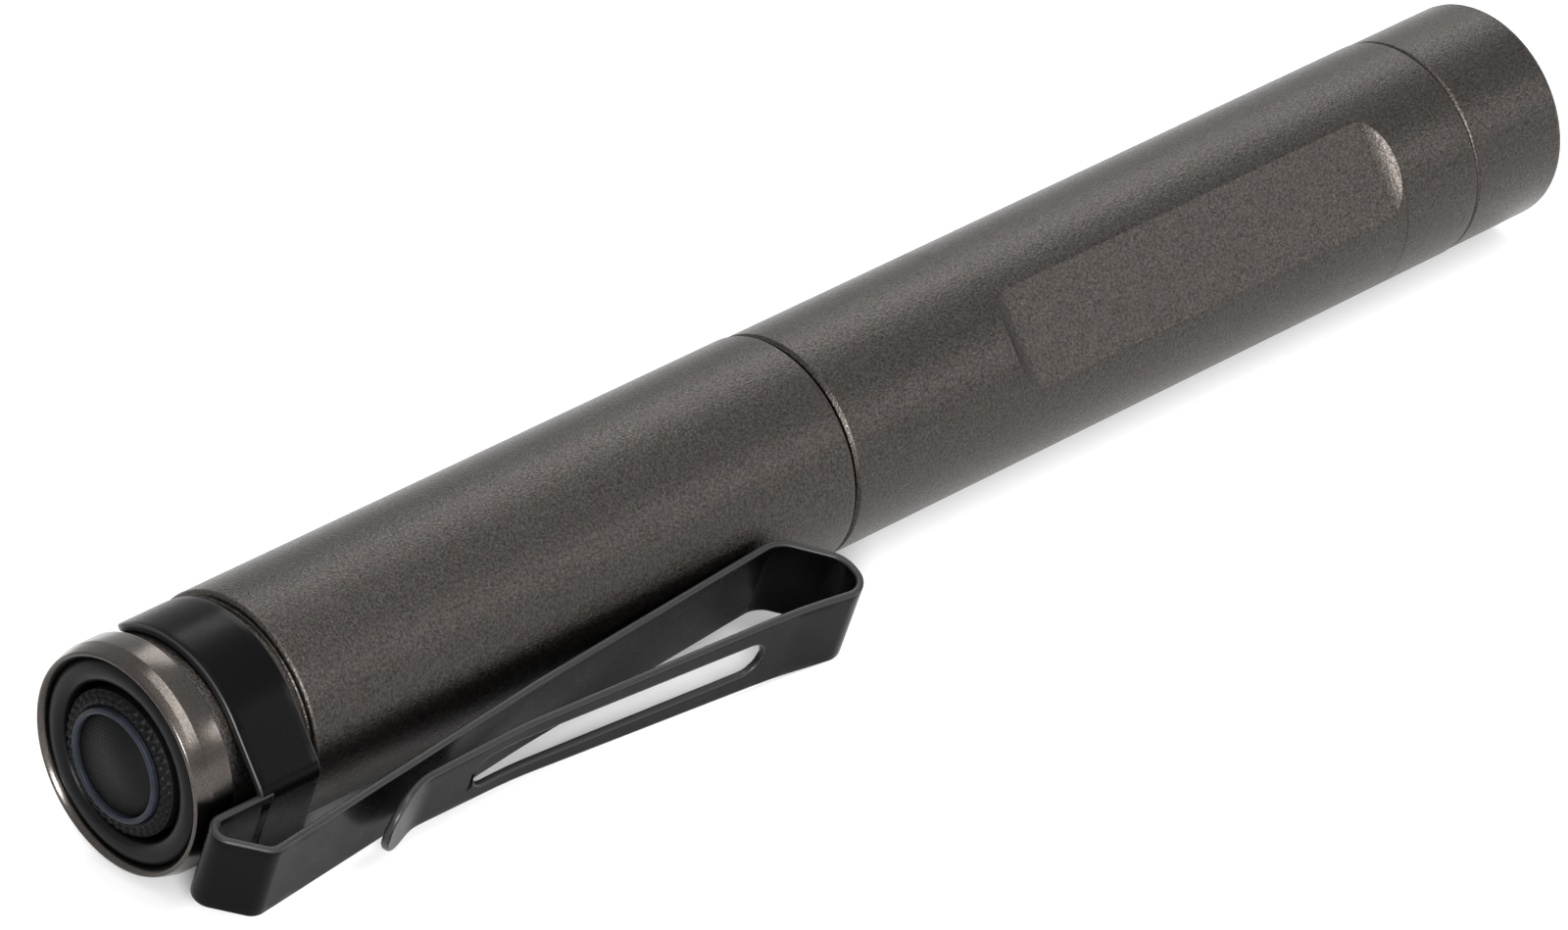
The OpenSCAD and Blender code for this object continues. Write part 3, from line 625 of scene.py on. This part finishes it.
# The tail cap, the rubber ring and the button
def make_tail():
    lip = [
        (TAIL_END + LIP_SLOPE, RECESS), (TAIL_END, LIP_CREST - 0.06, 0.2),
        (TAIL_END + 0.12, LIP_CREST + 0.12, 0.2), (TAIL_END + 0.6, CAP - 0.14, 0.6),
        (TAIL_END + LIP_ROUND + 0.03, CAP, 0.5)]
    groove_floor = TAIL_BORE - 2 * RING_HALF
    groove_rear, groove_front = TAIL_RING - RING_HALF, TAIL_RING + RING_HALF
    outline = [
        (RECESS_FLOOR, CAP_BORE), (RECESS_FLOOR, RECESS), *lip,
        (TAIL_JOINT, CAP, 0.12), (TAIL_JOINT, TAIL_SPIGOT),
        (groove_rear, TAIL_SPIGOT), (groove_rear, groove_floor),
        (groove_front, groove_floor), (groove_front, TAIL_SPIGOT),
        (TAIL_SPIGOT_FRONT, TAIL_SPIGOT, 0.15), (TAIL_SPIGOT_FRONT, BOARD_BORE),
        (BOARD_REAR, BOARD_BORE), (BOARD_REAR, CAP_BORE)]
    dress(turned("tail_cap_shell", outline), bronze, "tail_group", ["tail_cap"])
    dress(thread("tail_thread", TAIL_THREAD, TAIL_SPIGOT, END_PITCH), bronze, "tail_group")
    seal = ring("tail_seal_ring", TAIL_RING, TAIL_BORE - RING_HALF, RING_HALF - OVERLAP / 2)
    dress(seal, rubber, "tail_seal", ["tail_oring"])
    rim = RECESS + OVERLAP
    middle, half = (rim + RING_INNER) / 2, (rim - RING_INNER) / 2
    crown = []
    for k in range(21):
        t = math.pi * k / 20
        crown.append((RING_TOP + RING_CROWN * (1 - math.sin(t)), middle + half * math.cos(t)))
    surround = turned("button_surround", [(RECESS_FLOOR, RING_INNER), (RECESS_FLOOR, rim), *crown])
    dress(surround, rubber, "tail_group", ["rubber_ring"])


# The points on the button's edge: their number, each row's radius and shift, and a point's size
KNURLS = 40
KNURL_ROWS = ((4.18, 0.0), (4.47, 0.5))
KNURL_ALONG, KNURL_ACROSS, KNURL_RISE = 0.24, 0.17, 0.15


def button_shape(x, r, turn):
    """Raises two staggered rows of small points on the button's sloping edge."""
    if x > BUTTON_FACE + 0.45:
        return (x, r)
    rise = 0.0
    for place, shift in KNURL_ROWS:
        step = turn / (2 * math.pi) * KNURLS + shift
        side = (step - round(step)) * 2 * math.pi * r / KNURLS
        away = math.hypot(side / KNURL_ALONG, (r - place) / KNURL_ACROSS)
        rise = max(rise, KNURL_RISE * max(0.0, min(1.0, 1.8 * (1 - away))))
    return (x - rise, r)


def make_button():
    slope = [(BUTTON_FACE + 0.32 * (1 - k / 16) ** 1.5, BUTTON - 0.04 - 0.66 * k / 16) for k in range(17)]
    outline = [
        (BUTTON_REAR, 0), (BUTTON_REAR, BUTTON, 0.1), (BUTTON_FACE + 0.35, BUTTON, 0.04), *slope,
        (BUTTON_FACE, 3.78), (BUTTON_FACE + 0.1, 3.72), (BUTTON_FACE + 0.1, 3.25),
        (BUTTON_CENTRE, 3.2), (BUTTON_CENTRE, 0)]
    cap = turned("push_button_cap", outline, columns=KNURLS * 8, shape=button_shape)
    dress(cap, button_face, "push_button", ["button"])
    rib = turned("button_rib", [
        (BUTTON_CENTRE + 0.2, 3.3, 0.02), (BUTTON_RIDGE + 0.12, 3.3, 0.1), (BUTTON_RIDGE, 3.5, 0.12),
        (BUTTON_RIDGE + 0.12, 3.7, 0.1), (BUTTON_CENTRE + 0.2, 3.7, 0.02)])
    dress(rib, ring_rubber, "push_button")


def make_springs():
    spring = coil("button_return_spring", BUTTON_REAR, SWITCH_REAR, 2.5, 4)
    dress(spring, spring_metal, "tail_group", ["button_spring"])
    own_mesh(spring)
    spring = coil("cell_spring", BOARD_FRONT, CELLS_REAR, 2.8, 3)
    dress(spring, spring_metal, "tail_group", ["tail_spring"])


# The cells
def make_cells():
    for name, front in (("front", CELLS_FRONT), ("rear", CELLS_FRONT - CELL_LENGTH)):
        top, rear = front - TERMINAL, front - CELL_LENGTH
        case = turned(f"cell_{name}_case", [
            (rear, 0), (rear, CELL - 0.6, 0.1), (rear + 0.15, CELL - 0.5, 0.05), (rear + 0.15, CELL, 0.12),
            (top - 0.1, CELL, 0.3), (top - 0.1, 3.6, 0.1), (top, 3.5, 0.1), (top, 0)])
        dress(case, sleeve, "front_body", [f"battery_{name}"])
        nub = turned(f"cell_{name}_nub", [
            (top - 0.05, 0), (top - 0.05, NUB + 0.3, 0.05), (top + 0.05, NUB, 0.05), (front, NUB, 0.3), (front, 0)],
            columns=64)
        dress(nub, nickel, "front_body", [f"battery_{name}_terminal"])


# The clip: bent sheet, drawn in a plane through the axis
CLIP_ANGLE = math.radians(22)
TAB_HALF, LOOP_HALF, TIP_HALF, SHEET = 2.9, 2.95, 2.2, 0.5
REAR_PLAY = 1
COLLAR_REAR, COLLAR_FRONT = TAIL_JOINT + REAR_PLAY, measured("clip_collar").front
BRIDGE, BRIDGE_ROUND, MOUTH_ROUND = 8.05, 1.2, 2.0
COLLAR_MIDDLE = NECK + CLEARANCE + SHEET / 2
COLLAR_HALF = math.radians(152)
TAIL_BEND, TAB_TOP, ARM_SAG, KINK = (-57.0, BRIDGE), (-53.5, 11.7), (-30, 9.35), (-8.6, 7.8)
RAMP_TOP, LOOP_FRONT, OUTER_KNEE = (-5.7, 11.05), (-6.15, 13.75), (-11.8, 12.9)
OUTER_BEND, FLARE_BEND, TIP_END = (-32.8, 11.35), (-41.1, 11.4), (measured("clip_outer_arm").rear, 12.75)
SLOT_HALF, SLOT_HEAD, SLOT_TAIL = 1.3, -13.6, -36.5
# The edges' rounding, and the slot of the lighter edge paint that paints a highlight along them
EDGE, RIM_HIGHLIGHT_SLOT = 0.14, 1


def between(a, b, share):
    return (a[0] + (b[0] - a[0]) * share, a[1] + (b[1] - a[1]) * share)


INNER_START = between(TAB_TOP, ARM_SAG, 0.115)
OUTER_START = between(LOOP_FRONT, OUTER_KNEE, 0.56)


def on_clip(place, height, side):
    """A point of the clip, from its place along the axis, its distance out and its sideways distance."""
    c, s = math.cos(CLIP_ANGLE), math.sin(CLIP_ANGLE)
    return (place, -height * c - side * s, -height * s + side * c)


def bent(path, radii, run=1.2, turn=5.0):
    """Points along straight runs joined by arcs, with the direction at each."""
    corners = [Vector(p) for p in path]
    ends = [(corners[0], corners[0])]
    arcs = []
    for before, corner, after, radius in zip(corners, corners[1:], corners[2:], radii[1:]):
        a, b = (before - corner).normalized(), (after - corner).normalized()
        half = a.angle(b) / 2
        middle = corner + (a + b).normalized() * radius / math.sin(half)
        first, last = corner + a * radius / math.tan(half), corner + b * radius / math.tan(half)
        side = 1 if a.x * b.y - a.y * b.x < 0 else -1
        sweep = side * (math.pi - 2 * half)
        steps = max(2, math.ceil(math.degrees(abs(sweep)) / turn))
        arc = []
        for k in range(steps + 1):
            t = sweep * k / steps
            c, s = math.cos(t), math.sin(t)
            arm = first - middle
            arc.append(middle + Vector((arm.x * c - arm.y * s, arm.x * s + arm.y * c)))
        ends.append((first, last))
        arcs.append(arc)
    ends.append((corners[-1], corners[-1]))
    points = []
    for i in range(len(ends) - 1):
        start, stop = ends[i][1], ends[i + 1][0]
        count = max(1, math.ceil((stop - start).length / run))
        points += [start.lerp(stop, k / count) for k in range(count)]
        if i < len(arcs):
            points += arcs[i][:-1]
    points.append(corners[-1])
    found = []
    for i, p in enumerate(points):
        ahead = points[min(i + 1, len(points) - 1)] - points[max(i - 1, 0)]
        found.append((p, ahead.normalized()))
    found[0] = (points[0], (corners[1] - corners[0]).normalized())
    found[-1] = (points[-1], (corners[-1] - corners[-2]).normalized())
    return found


def sheet_strip(name, line, sides, place, open_ends=(False, False), across=4):
    """A strip of sheet along a line. sides gives the inner and outer half width at each point."""
    points, faces, rims, rows = [], [], [], []
    for p, way in line:
        inner, outer = sides(p)
        normal = Vector((-way.y, way.x))
        row = {}
        for side in (-1, 1):
            for k in range(across + 1):
                w = side * (inner + (outer - inner) * k / across)
                for layer in (-1, 1):
                    q = p + normal * layer * SHEET / 2
                    row[side, k, layer] = len(points)
                    points.append(place(q.x, q.y, w))
        rows.append((row, inner))
    for (a, gap_a), (b, gap_b) in zip(rows, rows[1:]):
        for side in (-1, 1):
            for k in range(across):
                for layer in (-1, 1):
                    near, far = (side, k, layer), (side, k + 1, layer)
                    faces.append((a[near], a[far], b[far], b[near]))
            rims.append((a[side, across, -1], a[side, across, 1], b[side, across, 1], b[side, across, -1]))
            if gap_a > 0 or gap_b > 0:
                rims.append((a[side, 0, -1], a[side, 0, 1], b[side, 0, 1], b[side, 0, -1]))
    for (row, _), opened in ((rows[0], open_ends[0]), (rows[-1], open_ends[1])):
        if opened:
            continue
        for side in (-1, 1):
            for k in range(across):
                rims.append((row[side, k, -1], row[side, k + 1, -1], row[side, k + 1, 1], row[side, k, 1]))
    obj = make_mesh(name, points, faces + rims)
    obj.data.materials.append(clip_paint)
    obj.data.materials.append(clip_edge_highlight)
    # The rims and cut edges take the lighter edge paint: a painted highlight along the sheet's edges
    for face in obj.data.polygons[len(faces):]:
        face.material_index = RIM_HIGHLIGHT_SLOT
    merge(obj, SHEET_CLOSE)
    return obj


def soften(obj):
    """Rounds a sheet's cut edges."""
    bevel = obj.modifiers.new("rounded edges", "BEVEL")
    bevel.limit_method = "ANGLE"
    bevel.angle_limit = math.radians(50)
    bevel.width = EDGE * MM
    bevel.segments = 3
    # The rounded edges also take the lighter edge paint: a painted highlight
    bevel.material = RIM_HIGHLIGHT_SLOT
    bevel.use_clamp_overlap = False
    weigh(obj)
    settle(obj)


def slope_half(x, near, far):
    """A half width between two places, each given with its half width."""
    share = min(1, max(0, (x - near[0]) / (far[0] - near[0])))
    return near[1] + (far[1] - near[1]) * share


def arm_sides(p):
    """The inner arm's half width, a little wider towards the loop."""
    widens = KINK[0] - 3.0
    half = slope_half(p.x, (widens, TAB_HALF + (LOOP_HALF - TAB_HALF) * 0.4), (OUTER_START[0], LOOP_HALF))
    if p.x < widens:
        half = slope_half(p.x, (INNER_START[0], TAB_HALF), (widens, half))
    return 0, half


def outer_sides(p):
    """The outer arm's slot and half width, with its rounded tip."""
    half = slope_half(p.x, (FLARE_BEND[0], TIP_HALF), (OUTER_START[0], LOOP_HALF))
    tip = p.x - (TIP_END[0] + TIP_HALF)
    if tip < 0:
        half = min(half, math.sqrt(max(TIP_HALF ** 2 - tip ** 2, 0.02)))
    past = max(SLOT_TAIL + SLOT_HALF - p.x, p.x - (SLOT_HEAD - SLOT_HALF), 0)
    slot = math.sqrt(SLOT_HALF ** 2 - past ** 2) if past < SLOT_HALF - TINY else 0
    return slot, half


def outer_line():
    """The outer arm's line, with more points round the slot's ends and the tip."""
    path = [OUTER_START, OUTER_KNEE, OUTER_BEND, FLARE_BEND, TIP_END]
    fine = bent(path, [0, 40, 40, 4], run=0.1, turn=0.5)
    slot_run = SLOT_HEAD - SLOT_TAIL - 2 * SLOT_HALF
    wanted = [OUTER_START[0] - k * 0.5 for k in range(6)]
    wanted += [SLOT_HEAD - SLOT_HALF * (1 - math.cos(math.pi / 2 * k / 8)) for k in range(9)]
    wanted += [SLOT_HEAD - SLOT_HALF - k * slot_run / 18 for k in range(1, 18)]
    wanted += [SLOT_TAIL + SLOT_HALF * (1 - math.cos(math.pi / 2 * k / 8)) for k in range(8, -1, -1)]
    wanted += [SLOT_TAIL - k * (SLOT_TAIL - TIP_END[0] - TIP_HALF) / 14 for k in range(1, 14)]
    wanted += [TIP_END[0] + TIP_HALF * (1 - math.sin(math.pi / 2 * k / 10)) for k in range(11)]
    line = []
    for x in wanted:
        line.append(min(fine, key=lambda q: abs(q[0].x - x)))
        shift = x - line[-1][0].x
        line[-1] = (line[-1][0] + line[-1][1] * shift / line[-1][1].x, line[-1][1])
    return line


def collar_line():
    """The collar's line round the neck, from one side of its mouth to the other."""
    corner = Vector((TAB_HALF, BRIDGE))
    leave = math.atan2(corner.x, corner.y) + math.acos(COLLAR_MIDDLE / corner.length)
    half_turn = (COLLAR_HALF - leave) / 2
    elbow_reach = COLLAR_MIDDLE / math.cos(half_turn)
    elbow = (elbow_reach * math.sin(leave + half_turn), elbow_reach * math.cos(leave + half_turn))
    mouth = (COLLAR_MIDDLE * math.sin(COLLAR_HALF), COLLAR_MIDDLE * math.cos(COLLAR_HALF))
    right = [mouth, elbow, tuple(corner)]
    left = [(-x, y) for x, y in reversed(right)]
    line = bent(right + left, [0, COLLAR_MIDDLE, BRIDGE_ROUND, BRIDGE_ROUND, COLLAR_MIDDLE], turn=4.0)
    line = [(p, way) for p, way in line if from_mouth(p) > MOUTH_ROUND]
    for k in range(9):
        turn = COLLAR_HALF - MOUTH_ROUND * (1 - math.sin(math.pi / 16 * k)) / COLLAR_MIDDLE
        s, c = math.sin(turn), math.cos(turn)
        line.insert(0, (Vector((s, c)) * COLLAR_MIDDLE, Vector((-c, s))))
        line.append((Vector((-s, c)) * COLLAR_MIDDLE, Vector((-c, -s))))
    return line


def from_mouth(p):
    """The way along the collar from the nearer end of its mouth."""
    return (COLLAR_HALF - abs(math.atan2(p.x, p.y))) * COLLAR_MIDDLE


def collar_sides(p):
    """The collar's half width, less at the rounded corners of its mouth."""
    half = (COLLAR_FRONT - COLLAR_REAR) / 2
    short = max(MOUTH_ROUND - max(from_mouth(p), 0), 0)
    return 0, half - MOUTH_ROUND + math.sqrt(MOUTH_ROUND ** 2 - short ** 2)


def make_clip():
    middle = (COLLAR_REAR + COLLAR_FRONT) / 2

    def band_place(across, out, along):
        return on_clip(middle + along, out, across)

    collar = sheet_strip("clip_band", collar_line(), collar_sides, band_place)
    tab_line = bent([(COLLAR_REAR + 1, BRIDGE), TAIL_BEND, TAB_TOP, INNER_START], [0, 1.0, 1.0])
    tab = sheet_strip("clip_tab", tab_line, lambda p: (0, TAB_HALF), on_clip, open_ends=(False, True))
    soften(collar)
    soften(tab)
    dress(collar, clip_paint, "clip_base", ["clip_collar"])
    dress(tab, clip_paint, "clip_base")
    arm_line = bent([INNER_START, ARM_SAG, KINK, RAMP_TOP, LOOP_FRONT, OUTER_START], [0, 60, 2.2, 2.0, 1.5])
    arm = sheet_strip("clip_arm", arm_line, arm_sides, on_clip, open_ends=(True, True))
    soften(arm)
    dress(arm, clip_paint, nodes=["clip_inner_arm"])
    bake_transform(arm)
    finger = sheet_strip("clip_finger", outer_line(), outer_sides, on_clip, open_ends=(True, False))
    soften(finger)
    dress(finger, clip_paint, nodes=["clip_outer_arm"])
    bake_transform(finger)


# The solids that show as they are get their materials
def dress_solids():
    looks = {
        "led_pill": brass, "led_board": board_white, "led_emitter": phosphor, "led_gasket": white_plastic,
        "led_wires": wire_red, "driver_board": board_green, "driver_parts": black_plastic,
        "driver_contact": brass, "switch_housing": black_plastic, "switch_board": board_green,
        "switch_ring": brass, "switch_plunger": white_plastic}
    for name, material in looks.items():
        obj = NODES[name]
        obj.data.materials.clear()
        obj.data.materials.append(material)


make_front_barrel()
make_rear_tube()
make_head()
make_tail()
make_button()
make_springs()
make_cells()
make_clip()
dress_solids()


# The stage, in metres. The camera stands at the photograph's viewing angle
FLOOR_HALF = 3.0
SENSOR, FOCAL_LENGTH = 36, 232.16
CAMERA_PLACE = (-0.38738, -0.39972, 0.29764)
CAMERA_FORWARD, CAMERA_UP = Vector((0.6132, 0.6324, -0.4733)), Vector((0.3439, 0.3258, 0.8807))


def make_floor():
    height = cad_box[0][2]
    corners = [(FLOOR_HALF * x, FLOOR_HALF * y, height) for x, y in ((-1, -1), (1, -1), (1, 1), (-1, 1))]
    mesh = bpy.data.meshes.new("floor")
    mesh.from_pydata(corners, [], [(0, 1, 2, 3)])
    floor = bpy.data.objects.new("floor", mesh)
    bpy.context.scene.collection.objects.link(floor)
    mesh.materials.append(surface("floor_paper", (0.86, 0.86, 0.86), 0.9, specular=0.1))


def make_world():
    """A plain surround, white to the camera, metal and glass, and a little darker as light."""
    world = bpy.data.worlds.new("studio")
    bpy.context.scene.world = world
    world.use_nodes = True
    tree = world.node_tree
    back = tree.nodes["Background"]
    back.inputs["Color"].default_value = (0.8, 0.8, 0.8, 1)
    back.inputs["Strength"].default_value = 1.0
    bright = tree.nodes.new("ShaderNodeBackground")
    bright.inputs["Color"].default_value = (1, 1, 1, 1)
    mix = tree.nodes.new("ShaderNodeMixShader")
    path = tree.nodes.new("ShaderNodeLightPath")
    seen = path.outputs["Is Camera Ray"]
    for other in ("Is Glossy Ray", "Is Transmission Ray"):
        either = tree.nodes.new("ShaderNodeMath")
        either.operation = "MAXIMUM"
        tree.links.new(seen, either.inputs[0])
        tree.links.new(path.outputs[other], either.inputs[1])
        seen = either.outputs[0]
    tree.links.new(seen, mix.inputs["Fac"])
    tree.links.new(back.outputs[0], mix.inputs[1])
    tree.links.new(bright.outputs[0], mix.inputs[2])
    tree.links.new(mix.outputs[0], tree.nodes["World Output"].inputs["Surface"])


def add_softbox(name, toward, distance, size, power, along=(0, 0, 1)):
    """A soft lamp that faces the part, with its second side along a direction."""
    lamp = bpy.data.lights.new(name, "AREA")
    lamp.shape = "RECTANGLE"
    lamp.size, lamp.size_y = size
    lamp.energy = power
    obj = bpy.data.objects.new(name, lamp)
    way = Vector(toward).normalized()
    side = Vector(along).cross(way).normalized()
    turn = Matrix((side, way.cross(side), way)).transposed()
    obj.matrix_world = Matrix.Translation(way * distance) @ turn.to_4x4()
    bpy.context.scene.collection.objects.link(obj)


def make_camera():
    lens = bpy.data.cameras.new("camera")
    lens.sensor_width, lens.lens = SENSOR, FOCAL_LENGTH
    lens.clip_start, lens.clip_end = 0.01, 20
    obj = bpy.data.objects.new("camera", lens)
    forward = CAMERA_FORWARD.normalized()
    right = forward.cross(CAMERA_UP).normalized()
    up = right.cross(forward)
    turn = Matrix((right, up, -forward)).transposed()
    obj.matrix_world = Matrix.Translation(CAMERA_PLACE) @ turn.to_4x4()
    bpy.context.scene.collection.objects.link(obj)
    bpy.context.scene.camera = obj


make_floor()
make_world()
add_softbox("key", (0.61, 0.40, 0.68), 0.6, (0.22, 0.22), 0.8)
add_softbox("side", (0.66, -0.68, 0.32), 0.6, (0.12, 0.12), 0.5)
add_softbox("fill", (-0.6, -0.7, 0.38), 0.8, (0.22, 0.22), 10)
add_softbox("strip", (0.1, -0.5, 0.85), 0.6, (0.08, 0.9), 3.0, along=(0, 1, -0.6))
make_camera()
bpy.context.scene.view_settings.view_transform = "Standard"
